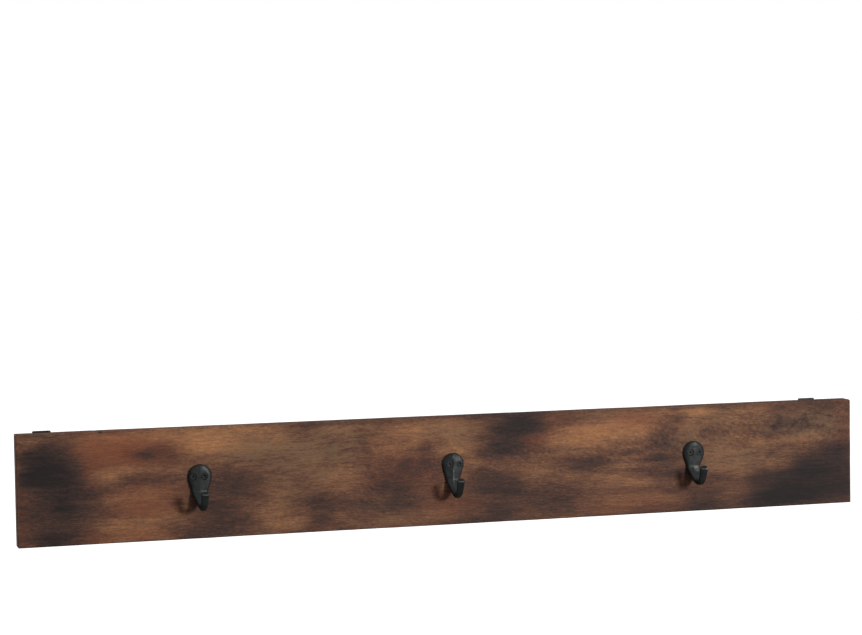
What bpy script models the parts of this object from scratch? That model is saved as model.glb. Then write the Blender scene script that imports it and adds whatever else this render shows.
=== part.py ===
"""A wall hook rail: a board with three forged iron hooks, hung on two keyhole plates let into its back.

Metres, +Z up. The origin is the middle of the board's back face, which lies on the wall (the plane y = 0).
+X runs along the board, and the hooks stand out towards -Y.
Every piece is one named object. Wire-drawn objects are cutters, and are no part of the model.
"""

import bmesh
import bpy
from math import asin, ceil, cos, pi, radians, sin, sqrt, tau

MM = 0.001
GAP = 0.3 * MM  # left between pieces that touch

# The board
BOARD_LENGTH = 1016 * MM
BOARD_HEIGHT = 128 * MM
BOARD_THICKNESS = 19 * MM
BOARD_EDGE_ROUND = 1.2 * MM

# The hooks. Their own heights are measured from the line through their two screws.
# They are forged by hand, so each has its own sizes: the widths of its plate, neck and tip, how late it
# narrows from neck to curl, the lengths of its flat below the screws, its slope and its rising tip, how
# far it leans with its foot to the left, and where its screws are.
HOOKS = {
    "left": {
        "x": -301 * MM, "plate": 27.6 * MM, "neck": 19 * MM, "tip": 9.4 * MM, "late": 1.0,
        "flat": 15 * MM, "slope": 13.0 * MM, "rise": 13.7 * MM,
        "lean": radians(1.2), "screws": (-8.4 * MM, 5.0 * MM),
    },
    "middle": {
        "x": -0.8 * MM, "plate": 26.0 * MM, "neck": 16.4 * MM, "tip": 9.3 * MM, "late": 1.0,
        "flat": 16.4 * MM, "slope": 12.0 * MM, "rise": 14.8 * MM,
        "lean": radians(1.4), "screws": (-4.5 * MM, 7.6 * MM),
    },
    "right": {
        "x": 301 * MM, "plate": 27.2 * MM, "neck": 17 * MM, "tip": 10.1 * MM, "late": 1.35,
        "flat": 15 * MM, "slope": 13.3 * MM, "rise": 15.0 * MM,
        "lean": radians(1.8), "screws": (-5.3 * MM, 6.9 * MM),
    },
}
HOOK_SCREW_LINE = 8 * MM  # above the board's middle
PLATE_EDGE = 2.9 * MM  # thickness at the rim
PLATE_RIDGE = 4.4 * MM  # thickness along the middle ridge
CURL_WIDTH = 5.8 * MM
ARM_RIDGE = 4.2 * MM
ARM_EDGE = 2.6 * MM
ARM_BELLY = 1.0 * MM  # how far the arm's underside swells
BEND_RADIUS = 10 * MM
SLOPE_ANGLE = radians(40)
CURL_RADIUS = 13.05 * MM
TIP_ANGLE = radians(160)
TIP_FAN = 0.8  # how the curl widens towards the tip: 1 is an even fan
TIP_CUT = 0.45  # the slope of the tip's end, which is lower on the outer side
TIP_EASE = 0.6 * MM  # the rounding at the tip's end
FLAT_STEPS = 5

# The wood screws, all of one size
SCREW_LENGTH = 16 * MM
SCREW_RADIUS = 1.75 * MM
HEAD_RADIUS = 3.5 * MM
HEAD_RIM = 0.25 * MM
HEAD_DEPTH = 2.0 * MM
POINT_LENGTH = 3.5 * MM
CROSS_LENGTH = 3.8 * MM
CROSS_WIDTH = 0.9 * MM
CROSS_DEPTH = 1.3 * MM
SCREW_SIDES = 16
HOOK_HEAD_HEIGHT = 3.6 * MM  # of a head's top above the board's face

# The keyhole plates on the back
HANGER_CENTRES = (-477 * MM, 457 * MM)
HANGER_WIDTH = 21 * MM
HANGER_HEIGHT = 46 * MM
HANGER_THICKNESS = 1.6 * MM
HANGER_CORNER = 1.5 * MM
HANGER_ABOVE_BOARD = 1.8 * MM
HANGER_INSET = 0.1 * MM  # below the board's back
HANGER_SCREW_OFFSET = 16.5 * MM  # from the plate's middle, up and down
ENTRY_RADIUS = 4.6 * MM  # the round hole that the wall screw's head goes through
ENTRY_BELOW = 5 * MM  # below the plate's middle
SLOT_WIDTH = 4.8 * MM
SLOT_TOP = 9 * MM  # the slot's upper end, above the plate's middle
POCKET_RADIUS = 6.2 * MM  # half the width of the pocket for the wall screw's head
POCKET_DEPTH = 11 * MM

BOARD_FRONT = -BOARD_THICKNESS
HANGER_MIDDLE = BOARD_HEIGHT / 2 + HANGER_ABOVE_BOARD - HANGER_HEIGHT / 2


def clear_scene():
    for obj in list(bpy.data.objects):
        bpy.data.objects.remove(obj, do_unlink=True)


def make_material(name, colour, roughness, metallic):
    material = bpy.data.materials.new(name)
    material.use_nodes = True
    shader = material.node_tree.nodes["Principled BSDF"]
    shader.inputs["Base Color"].default_value = (*colour, 1)
    shader.inputs["Roughness"].default_value = roughness
    shader.inputs["Metallic"].default_value = metallic
    return material


def place(name, mesh, location, material=None, turn=0):
    """A new object in the scene, turned about its own Z."""
    obj = bpy.data.objects.new(name, mesh)
    bpy.context.scene.collection.objects.link(obj)
    obj.location = location
    obj.rotation_euler.z = turn
    if material and not mesh.materials:
        mesh.materials.append(material)
    return obj


def make_cutter(name, mesh, location, turn=0):
    cutter = place(name, mesh, location, turn=turn)
    cutter.hide_render = True
    cutter.display_type = "WIRE"
    return cutter


def cut(obj, cutter):
    modifier = obj.modifiers.new("cut by " + cutter.name, "BOOLEAN")
    modifier.operation = "DIFFERENCE"
    modifier.solver = "EXACT"
    modifier.object = cutter


def skin(name, rings, smooth_angle=radians(35)):
    """A closed mesh through rings of points, each ring joined to the next and the two ends filled."""
    shape = bmesh.new()
    loops = [[shape.verts.new(point) for point in ring] for ring in rings]
    for ring, following in zip(loops, loops[1:]):
        for i in range(len(ring)):
            j = (i + 1) % len(ring)
            shape.faces.new((ring[i], ring[j], following[j], following[i]))
    shape.faces.new(loops[0])
    shape.faces.new(loops[-1])
    bmesh.ops.recalc_face_normals(shape, faces=shape.faces)
    mesh = bpy.data.meshes.new(name)
    shape.to_mesh(mesh)
    shape.free()
    mesh.shade_smooth()
    mesh.set_sharp_from_angle(angle=smooth_angle)
    return mesh


def turned(name, profile, sides=SCREW_SIDES):
    """A solid turned about the Y axis, from a profile of (radius, y) points."""
    rings = []
    for radius, y in profile:
        rings.append([(radius * cos(tau * i / sides), y, radius * sin(tau * i / sides)) for i in range(sides)])
    return skin(name, rings)


def upright_prism(name, outline, y_from, y_to):
    """A closed outline of (x, z) points, extruded along Y."""
    return skin(name, [[(x, y, z) for x, z in outline] for y in (y_from, y_to)])


def arc(centre, radius, start, end, steps):
    x, z = centre
    angles = [start + (end - start) * i / steps for i in range(steps + 1)]
    return [(x + radius * cos(a), z + radius * sin(a)) for a in angles]


def rounded_rectangle(width, low, high, corner, steps=4):
    x = width / 2 - corner
    corners = ((x, high - corner, 0), (-x, high - corner, 1), (-x, low + corner, 2), (x, low + corner, 3))
    outline = []
    for cx, cz, quarter in corners:
        outline += arc((cx, cz), corner, quarter * pi / 2, (quarter + 1) * pi / 2, steps)
    return outline


def long_hole(radius, low, high, steps=10):
    """The outline of an upright hole with round ends whose centres are at the heights low and high."""
    return arc((0, high), radius, 0, pi, steps) + arc((0, low), radius, pi, tau, steps)


def blend(start, end, share):
    """From start to end as share goes from 0 to 1, with a level beginning and end."""
    share = min(max(share, 0), 1)
    return start + (end - start) * share * share * (3 - 2 * share)


# ---- the hook ----


def hook_back_line(sizes):
    """Stations down the hook's back: (distance out from the board, height, direction).

    The direction is 0 pointing down, a quarter turn pointing out and half a turn pointing up.
    """
    radius = sizes["plate"] / 2
    stations = [(GAP, radius * cos(radians(degrees)), 0) for degrees in (9, 22, 36, 52, 70, 90)]
    stations += [(GAP, -sizes["flat"] * i / FLAT_STEPS, 0) for i in range(1, FLAT_STEPS + 1)]

    def run(length, turn, step_size):
        """Adds stations along a stretch of this length, which turns by this much in all."""
        out, height, angle = stations[-1]
        steps = ceil(length / step_size)
        for _ in range(steps):
            middle_angle = angle + turn / steps / 2
            out += length / steps * sin(middle_angle)
            height -= length / steps * cos(middle_angle)
            angle += turn / steps
            stations.append((out, height, angle))

    curl = TIP_ANGLE - SLOPE_ANGLE
    run(BEND_RADIUS * SLOPE_ANGLE, SLOPE_ANGLE, 1.8 * MM)
    run(sizes["slope"], 0, 3.4 * MM)
    run(CURL_RADIUS * curl, curl, 2.9 * MM)
    run(sizes["rise"], 0, 4.8 * MM)
    return stations


def hook_section(station, width, edge, ridge, belly, cut_slope=0.0):
    """One ring across the hook: a flat or slightly swollen back, two facets and a ridge in front.

    With a cut_slope the ring is tilted, and its back lags behind its ridge.
    """
    out, height, angle = station
    half = width / 2
    front = edge + (ridge - edge) * 0.3
    half_ring = (
        (half * 0.62, -belly * 0.75),
        (half, edge * 0.3),
        (half * 0.97, edge * 0.8),
        (half * 0.78, front),
    )
    across_and_up = [(0, -belly), *half_ring, (0, ridge)]
    across_and_up += [(-across, up) for across, up in reversed(half_ring)]
    ring = []
    for x, up in across_and_up:
        lag = cut_slope * (ridge - up)
        ring.append((x, -(out + up * cos(angle) - lag * sin(angle)), height + up * sin(angle) + lag * cos(angle)))
    return ring


def make_hook_mesh(name, sizes):
    radius = sizes["plate"] / 2
    stations = hook_back_line(sizes)
    widest = 5  # the station at the plate's widest
    last_flat = widest + FLAT_STEPS
    lowest = min(range(len(stations)), key=lambda i: stations[i][1])
    rings = []
    for i, station in enumerate(stations):
        height = station[1]
        onto_arm = blend(0, 1, (i - last_flat + 2) / 6)
        edge = blend(PLATE_EDGE, ARM_EDGE, onto_arm)
        ridge = blend(PLATE_RIDGE, ARM_RIDGE, onto_arm)
        if i < widest:
            width = 2 * sqrt(radius**2 - height**2)
            rim = blend(0.6, 1, width / radius)
            edge *= rim
            ridge *= rim
        elif i <= last_flat + 1:
            width = blend(2 * radius, sizes["neck"], -height / (sizes["flat"] * 1.25))
        elif i < lowest:
            width = blend(sizes["neck"], CURL_WIDTH, ((i - last_flat) / (lowest - last_flat)) ** sizes["late"])
        else:
            share = (i - lowest) / (len(stations) - 1 - lowest)
            width = CURL_WIDTH + (sizes["tip"] - CURL_WIDTH) * share**TIP_FAN
        belly = blend(0, ARM_BELLY, (i - last_flat - 1) / 4)
        cut_slope = TIP_CUT if i == len(stations) - 1 else 0
        rings.append(hook_section(station, width, edge, ridge, belly, cut_slope))
    out, height, angle = stations[-1]
    end = (out + TIP_EASE * sin(angle), height - TIP_EASE * cos(angle), angle)
    rings.append(hook_section(end, sizes["tip"] * 0.86, ARM_EDGE * 0.85, ARM_RIDGE * 0.8, ARM_BELLY * 0.3, TIP_CUT))
    return skin(name, rings)


def make_countersink(name):
    """The cutter for a countersunk hole. The screw's head comes from -Y, its top level with y = 0."""
    hole = SCREW_RADIUS + GAP
    rim = HEAD_RADIUS + GAP
    past = 6 * MM  # beyond the metal, at both ends
    profile = ((hole, past), (hole, HEAD_DEPTH + GAP / 2), (rim, HEAD_RIM), (rim, -past))
    return turned(name, profile, 20)


# ---- the wood screw ----


def make_screw_mesh():
    """A countersunk wood screw along +Y, with the middle of its head's top at the origin."""
    shank_end = SCREW_LENGTH - POINT_LENGTH
    profile = (
        (HEAD_RADIUS - 0.15 * MM, 0),
        (HEAD_RADIUS, HEAD_RIM * 0.6),
        (HEAD_RADIUS, HEAD_RIM),
        (SCREW_RADIUS, HEAD_DEPTH),
        (SCREW_RADIUS, shank_end),
        (SCREW_RADIUS * 0.45, SCREW_LENGTH - POINT_LENGTH * 0.3),
        (SCREW_RADIUS * 0.12, SCREW_LENGTH),
    )
    return turned("screw", profile)


def make_cross_cutter_mesh():
    """The cross recess: a plus sign that narrows as it goes down."""

    def plus(length, width):
        a, b = length / 2, width / 2
        quarter = ((b, a), (-b, a), (-b, b))
        points = []
        for turn in range(4):
            c, s = cos(turn * pi / 2), sin(turn * pi / 2)
            points += [(x * c - z * s, x * s + z * c) for x, z in quarter]
        return points

    above = 0.5 * MM
    top = plus(CROSS_LENGTH, CROSS_WIDTH)
    bottom = plus(CROSS_LENGTH * 0.42, CROSS_WIDTH * 0.55)
    return skin("cross recess", [[(x, -above, z) for x, z in top], [(x, CROSS_DEPTH, z) for x, z in bottom]])


def add_screw(name, mesh, recess, location, material, turn=0):
    screw = place(name, mesh, location, material, turn)
    cut(screw, make_cutter(name + " recess", recess, location, turn))


# ---- the keyhole plate ----


def make_hanger_mesh():
    """The blank of a keyhole plate: y = 0 is its outer face, and z = 0 its middle."""
    outline = rounded_rectangle(HANGER_WIDTH, -HANGER_HEIGHT / 2, HANGER_HEIGHT / 2, HANGER_CORNER)
    return upright_prism("hanger blank", outline, 0, -HANGER_THICKNESS)


def keyhole_outline():
    """A round entry with a narrower slot going up from it."""
    half = SLOT_WIDTH / 2
    mouth = asin(half / ENTRY_RADIUS)  # half the angle at the entry's centre that the slot takes
    slot_end = arc((0, SLOT_TOP - half), half, 0, pi, 8)
    return slot_end + arc((0, -ENTRY_BELOW), ENTRY_RADIUS, pi / 2 + mouth, tau + pi / 2 - mouth, 20)


# ---- the whole rail ----


def add_board(material):
    shape = bmesh.new()
    bmesh.ops.create_cube(shape, size=1)
    bmesh.ops.scale(shape, vec=(BOARD_LENGTH, BOARD_THICKNESS, BOARD_HEIGHT), verts=shape.verts)
    bmesh.ops.translate(shape, vec=(0, -BOARD_THICKNESS / 2, 0), verts=shape.verts)
    mesh = bpy.data.meshes.new("board")
    shape.to_mesh(mesh)
    shape.free()
    board = place("board", mesh, (0, 0, 0), material)
    bevel = board.modifiers.new("worn edges", "BEVEL")
    bevel.width = BOARD_EDGE_ROUND
    bevel.segments = 3
    return board


def pilot_hole(name, screw_reach):
    """The hole for a screw whose point is this far in from the board's face. The face is at y = 0."""
    radius = SCREW_RADIUS + GAP
    return turned(name, ((radius, -1 * MM), (radius, screw_reach + 1 * MM)), 12)


def add_hooks(board, iron, black, screw_mesh, recess):
    countersink = make_countersink("hook countersink")
    pilot = pilot_hole("hook pilot hole", SCREW_LENGTH - HOOK_HEAD_HEIGHT)
    for hook_name, sizes in HOOKS.items():
        x = sizes["x"]
        mesh = make_hook_mesh(hook_name + " hook", sizes)
        hook = place("hook_" + hook_name, mesh, (x, BOARD_FRONT, HOOK_SCREW_LINE), iron)
        hook.rotation_euler.y = sizes["lean"]
        for side, offset in zip(("left", "right"), sizes["screws"]):
            name = f"{hook_name}_hook_screw_{side}"
            screw_x = x + offset
            head = (screw_x, BOARD_FRONT - HOOK_HEAD_HEIGHT, HOOK_SCREW_LINE)
            cut(hook, make_cutter(name + " countersink", countersink, head))
            cut(board, make_cutter(name + " pilot", pilot, (screw_x, BOARD_FRONT, HOOK_SCREW_LINE)))
            add_screw(name, screw_mesh, recess, head, black)


def add_hangers(board, black, screw_mesh, recess):
    blank = make_hanger_mesh()
    keyhole = upright_prism("keyhole", keyhole_outline(), 1 * MM, -HANGER_THICKNESS - 1 * MM)
    countersink = make_countersink("hanger countersink")
    pilot = pilot_hole("hanger pilot hole", SCREW_LENGTH + HANGER_INSET)
    bed_low = -HANGER_HEIGHT / 2 - GAP
    bed_outline = rounded_rectangle(HANGER_WIDTH + 2 * GAP, bed_low, HANGER_HEIGHT / 2 + 4 * MM, HANGER_CORNER)
    bed = upright_prism("hanger bed", bed_outline, 1 * MM, -HANGER_INSET - HANGER_THICKNESS - GAP)
    pocket_outline = long_hole(POCKET_RADIUS, -ENTRY_BELOW, SLOT_TOP - SLOT_WIDTH / 2)
    pocket = upright_prism("head pocket", pocket_outline, 1 * MM, -POCKET_DEPTH)
    for place_name, x in zip(("left", "right"), HANGER_CENTRES):
        at = (x, -HANGER_INSET, HANGER_MIDDLE)
        plate = place("hanger_plate_" + place_name, blank, at, black)
        cut(plate, make_cutter(place_name + " keyhole", keyhole, at))
        in_board = (x, 0, HANGER_MIDDLE)
        cut(board, make_cutter(place_name + " hanger bed", bed, in_board))
        cut(board, make_cutter(place_name + " head pocket", pocket, in_board))
        for end, sign in (("top", 1), ("bottom", -1)):
            name = f"{place_name}_hanger_screw_{end}"
            z = HANGER_MIDDLE + sign * HANGER_SCREW_OFFSET
            head = (x, -HANGER_INSET, z)
            cut(plate, make_cutter(name + " countersink", countersink, head, turn=pi))
            cut(board, make_cutter(name + " pilot", pilot, (x, 0, z), turn=pi))
            add_screw(name, screw_mesh, recess, head, black, turn=pi)


def main():
    clear_scene()
    wood = make_material("scorched wood", (0.13, 0.06, 0.03), 0.55, 0)
    iron = make_material("forged iron", (0.035, 0.038, 0.04), 0.5, 0.6)
    black = make_material("black steel", (0.02, 0.02, 0.022), 0.45, 0.8)
    board = add_board(wood)
    screw_mesh = make_screw_mesh()
    recess = make_cross_cutter_mesh()
    add_hooks(board, iron, black, screw_mesh, recess)
    add_hangers(board, black, screw_mesh, recess)


main()
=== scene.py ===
from math import ceil, cos, pi, radians, sin, tau

import bmesh
import bpy
import numpy as np
from mathutils import Matrix, Vector


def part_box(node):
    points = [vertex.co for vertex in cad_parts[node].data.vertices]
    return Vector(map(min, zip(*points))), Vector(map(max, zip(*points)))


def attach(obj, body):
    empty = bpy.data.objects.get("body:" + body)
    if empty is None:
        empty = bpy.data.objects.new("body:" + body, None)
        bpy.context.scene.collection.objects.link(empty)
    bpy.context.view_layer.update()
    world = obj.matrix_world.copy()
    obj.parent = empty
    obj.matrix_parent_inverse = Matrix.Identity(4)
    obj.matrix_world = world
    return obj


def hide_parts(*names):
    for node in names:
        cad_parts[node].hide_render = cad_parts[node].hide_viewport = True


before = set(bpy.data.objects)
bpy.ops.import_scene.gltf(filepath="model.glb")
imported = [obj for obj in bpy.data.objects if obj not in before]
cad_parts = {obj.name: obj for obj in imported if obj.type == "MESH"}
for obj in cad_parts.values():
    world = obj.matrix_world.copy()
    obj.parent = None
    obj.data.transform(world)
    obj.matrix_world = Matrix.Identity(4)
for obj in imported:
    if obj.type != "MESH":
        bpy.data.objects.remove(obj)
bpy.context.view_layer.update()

mm = 0.001
screwNodes = sorted(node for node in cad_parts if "screw" in node)
print("frame loaded:", len(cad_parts), "nodes")


def tint(red, green, blue):
    # A screen colour from 0 to 255, made linear
    share = np.array([red, green, blue]) / 255
    linear = np.where(share <= 0.04045, share / 12.92, ((share + 0.055) / 1.055) ** 2.4)
    return (*[float(v) for v in linear], 1)


def smooth(x, start=0.0, end=1.0):
    # From 0 to 1 as x goes from start to end, level at both ends: 3t^2 - 2t^3
    t = np.clip((x - start) / (end - start), 0, 1)
    return t * t * (3 - 2 * t)


def roughNoise(u, v, seed):
    # Value noise, about -1 to 1: each whole (u, v) has a hashed number, and a place between four of them
    # gets their smooth blend
    def corner(i, j):
        h = np.sin(i * 127.1 + j * 311.7 + seed * 74.7) * 43758.5453
        return (h - np.floor(h)) * 2 - 1
    i, j = np.floor(u), np.floor(v)
    a, b = smooth(u - i), smooth(v - j)
    low = corner(i, j) * (1 - a) + corner(i + 1, j) * a
    high = corner(i, j + 1) * (1 - a) + corner(i + 1, j + 1) * a
    return low * (1 - b) + high * b


def layeredNoise(u, v, seed, layers=3):
    # A sum of value noises, each half as strong and twice as fine as the one before
    total = sum(roughNoise(u * 2**k, v * 2**k, seed + k) * 0.5**k for k in range(layers))
    return total / (2 - 0.5 ** (layers - 1))


def meshFrom(name, points, faces):
    # A smooth mesh whose faces point outwards: they are turned round if the volume inside, a sum of
    # a . (b x c) over the triangles, comes out negative
    volume = 0.0
    for block in faces:
        corners = points[block]
        for k in range(1, block.shape[1] - 1):
            volume += np.einsum("ij,ij->", corners[:, 0], np.cross(corners[:, k], corners[:, k + 1]))
    lists = [(block if volume > 0 else block[:, ::-1]).tolist() for block in faces]
    mesh = bpy.data.meshes.new(name)
    mesh.from_pydata(points.tolist(), [], sum(lists, []))
    mesh.update()
    mesh.shade_smooth()
    return mesh


def skinRings(name, rings):
    # rings[i, j] is point j of ring i. Quads join each ring to the next, and a fan of triangles round its
    # middle closes each end
    count, around = rings.shape[:2]
    points = np.vstack([rings.reshape(-1, 3), rings[:1].mean(1), rings[-1:].mean(1)])
    here = np.arange(count * around).reshape(count, around)
    after = np.roll(here, -1, axis=1)
    quads = np.stack([here[:-1], after[:-1], after[1:], here[1:]], -1).reshape(-1, 4)
    first = np.stack([after[0], here[0], np.full(around, count * around)], -1)
    last = np.stack([here[-1], after[-1], np.full(around, count * around + 1)], -1)
    return meshFrom(name, points, [quads, first, last])


def boxSkin(xs, ys, zs):
    # The skin of a lattice: six grids, each of two of the lines, sharing the points along the edges
    number = np.arange(len(xs) * len(ys) * len(zs)).reshape(len(xs), len(ys), len(zs))

    def grid(sheet, turned):
        quads = np.stack([sheet[:-1, :-1], sheet[1:, :-1], sheet[1:, 1:], sheet[:-1, 1:]], -1).reshape(-1, 4)
        return quads[:, ::-1] if turned else quads
    quads = np.vstack([
        grid(number[:, 0, :], False), grid(number[:, -1, :], True),
        grid(number[:, :, 0], True), grid(number[:, :, -1], False),
        grid(number[0, :, :], True), grid(number[-1, :, :], False),
    ])
    used, faces = np.unique(quads, return_inverse=True)
    i, j, k = np.unravel_index(used, number.shape)
    return np.stack([xs[i], ys[j], zs[k]], -1), faces.reshape(-1, 4)


def linesAcross(low, high, step, border, shares):
    # Lines from low to high, a step apart. Within the border at both ends they stand closer, at its shares
    inner = np.linspace(low + border, high - border, max(2, round((high - low - 2 * border) / step) + 1))
    edge = border * shares
    return np.concatenate([low + edge, inner, high - edge[::-1]])


def prism(name, outline, yFrom, yTo):
    # An upright outline of (x, z) points, carried along Y
    rings = np.array([[(x, y, z) for x, z in outline] for y in (yFrom, yTo)])
    return skinRings(name, rings)


def arc(centre, radius, start, end, steps):
    # Points of a circle, (x + r cos a, z + r sin a), as a runs from start to end
    x, z = centre
    angles = np.linspace(start, end, steps + 1)
    return [(x + radius * cos(a), z + radius * sin(a)) for a in angles]


def roundedRectangle(left, right, low, high, corner):
    # Four quarter circles, one at each corner, from the upper right one anticlockwise
    points = []
    corners = ((right, high, 0), (left, high, 1), (left, low, 2), (right, low, 3))
    for x, z, quarter in corners:
        inX = x - corner if x == right else x + corner
        inZ = z - corner if z == high else z + corner
        points += arc((inX, inZ), corner, quarter * pi / 2, (quarter + 1) * pi / 2, 8)
    return points


def turnedCutter(name, profile, centre, outwards, around):
    # A profile of (radius, depth) turned about Y. Depth goes in, against the outward side, which is 1 or -1
    angles = np.linspace(0, tau, around, endpoint=False)
    radius, depth = np.array(profile).T
    x = centre[0] + radius[:, None] * np.cos(angles)
    z = centre[2] + radius[:, None] * np.sin(angles)
    y = centre[1] - outwards * depth[:, None] + 0 * angles
    return skinRings(name, np.stack([x, y, z], -1))


def joined(name, meshes):
    # Several meshes in one
    shape = bmesh.new()
    for mesh in meshes:
        shape.from_mesh(mesh)
    whole = bpy.data.meshes.new(name)
    shape.to_mesh(whole)
    shape.free()
    return whole


def addPiece(name, mesh, material, node):
    # One finished piece, in place of the plain one of its node
    piece = bpy.data.objects.new(name, mesh)
    bpy.context.scene.collection.objects.link(piece)
    mesh.materials.clear()
    mesh.materials.append(material)
    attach(piece, "root")
    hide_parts(node)
    return piece


def carve(mesh, cutters, sharpAngle):
    # The mesh with each cutter taken away from it in turn. Edges that turn further than the angle are sharp
    work = bpy.data.objects.new("carving", mesh)
    bpy.context.scene.collection.objects.link(work)
    tools = []
    for cutter in cutters:
        tool = bpy.data.objects.new("cutter", cutter)
        bpy.context.scene.collection.objects.link(tool)
        modifier = work.modifiers.new("cut", "BOOLEAN")
        modifier.operation = "DIFFERENCE"
        modifier.solver = "EXACT"
        modifier.object = tool
        tools.append(tool)
    graph = bpy.context.evaluated_depsgraph_get()
    carved = bpy.data.meshes.new_from_object(work.evaluated_get(graph))
    for obj in [work, *tools]:
        bpy.data.objects.remove(obj)
    carved.shade_smooth()
    carved.set_sharp_from_angle(angle=sharpAngle)
    return carved


def cornersOf(node):
    # The corners of a node's box, and its middle
    low, high = (np.array(corner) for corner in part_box(node))
    return low, high, (low + high) / 2


def pointsOf(mesh):
    # Every point of a mesh, as rows of x, y and z
    co = np.empty(len(mesh.vertices) * 3, np.float32)
    mesh.vertices.foreach_get("co", co)
    return co.reshape(-1, 3).astype(float)


def addField(mesh, name, values):
    # A number at each point, which the material reads by this name
    field = mesh.attributes.new(name, "FLOAT", "POINT")
    field.data.foreach_set("value", np.asarray(values, np.float32))


class Tree:
    # A material's nodes, added one after another
    def __init__(self, name):
        self.material = bpy.data.materials.new(name)
        self.material.use_nodes = True
        self.nodes = self.material.node_tree.nodes
        self.links = self.material.node_tree.links
        self.shader = self.nodes["Principled BSDF"]
        self.place = self.nodes.new("ShaderNodeTexCoord").outputs["Object"]

    def feed(self, node, inputs):
        # An input is linked to a socket, or else set to a value
        for name, value in inputs.items():
            if isinstance(value, bpy.types.NodeSocket):
                self.links.new(value, node.inputs[name])
            else:
                node.inputs[name].default_value = value

    def add(self, kind, inputs, output=0, **settings):
        node = self.nodes.new("ShaderNode" + kind)
        for name, value in settings.items():
            setattr(node, name, value)
        self.feed(node, inputs)
        return node.outputs[output]

    def math(self, operation, a, b):
        return self.add("Math", {0: a, 1: b}, operation=operation)

    def plus(self, a, b):
        return self.math("ADD", a, b)

    def times(self, a, b):
        return self.math("MULTIPLY", a, b)

    def swing(self, value, size):
        # A noise value, from about -size to size
        return self.times(self.math("SUBTRACT", value, 0.5), size * 2)

    def noise(self, fineness, detail, roughness, place=None):
        # Fineness is how many waves there are to a metre: one number, or one each for X, Y and Z
        waves = [float(count) for count in np.broadcast_to(fineness, 3)]
        mapping = self.add("Mapping", {"Vector": place or self.place, "Scale": waves})
        inputs = {"Vector": mapping, "Scale": 1, "Detail": detail, "Roughness": roughness}
        return self.add("TexNoise", inputs, "Fac")

    def ramp(self, value, low, high, to=(0.0, 1.0)):
        # A smooth step from one of two results to the other, as the value goes from low to high
        inputs = {"Value": value, "From Min": low, "From Max": high, "To Min": to[0], "To Max": to[1]}
        return self.add("MapRange", inputs, "Result", interpolation_type="SMOOTHSTEP")

    def mix(self, share, a, b):
        return self.add("Mix", {"Factor": share, "A": a, "B": b}, "Result", data_type="RGBA")

    def field(self, name):
        return self.add("Attribute", {}, "Fac", attribute_name=name)

    def bump(self, height, strength, distance):
        return self.add("Bump", {"Height": height, "Strength": strength, "Distance": distance}, "Normal")

    def finish(self, colour, roughness, normal, metallic=0.0, specular=0.5):
        inputs = {"Base Color": colour, "Roughness": roughness, "Normal": normal, "Metallic": metallic}
        self.feed(self.shader, inputs)
        self.shader.inputs["Specular IOR Level"].default_value = specular
        return self.material


# The finish runs from black scorch to bright amber: each stop is a tone from 0 to 1 and its colour. Each
# layer of the grain has its fineness along X, Y and Z, detail, roughness, and how far it moves the tone
woodLook = {
    "stops": [
        (0.0, tint(24, 22, 22)), (0.22, tint(40, 33, 32)), (0.36, tint(71, 50, 43)),
        (0.44, tint(89, 60, 47)), (0.5, tint(101, 68, 52)), (0.56, tint(113, 78, 57)),
        (0.65, tint(131, 92, 66)), (0.75, tint(154, 107, 72)), (0.9, tint(180, 126, 82)),
    ],
    "layers": {
        "cloud": ((14, 34, 46), 3, 0.55, 0.13),
        "streaks": ((16, 160, 240), 3, 0.6, 0.13),
        "fibres": ((90, 400, 520), 3, 0.7, 0.24),
        "hairs": ((230, 800, 1000), 2, 0.6, 0.2),
    },
    "ticks": (130, 700, 900),
    "tickGain": 0.08,
    "pores": (75, 1300, 1700),
    "poreDark": 0.22,
    "ground": 0.485,
    "amberGain": 0.28,
    "charLoss": 0.29,
    "charRagged": 0.55,  # how far the streaks shift the edge of a scorch
    "charCalm": 0.45,  # what is left of the grain where the wood is black
    "dusty": tint(112, 92, 70),
    "red": tint(120, 62, 42),
    "raw": tint(134, 108, 84),
    "rawDark": tint(104, 80, 62),
    "relief": (0.7, 0.5),  # the height of fibres and streaks, and the depth of pores
    "fibreRelief": 0.0002,
    "roughness": 0.62,
    "specular": 0.16,
}


def fibreFlow(tree):
    # The grain follows the field "flow", which says how far each fibre has drifted down at this place
    down = tree.add("CombineXYZ", {"Z": tree.field("flow")})
    return tree.add("VectorMath", {0: tree.place, 1: down})


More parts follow.
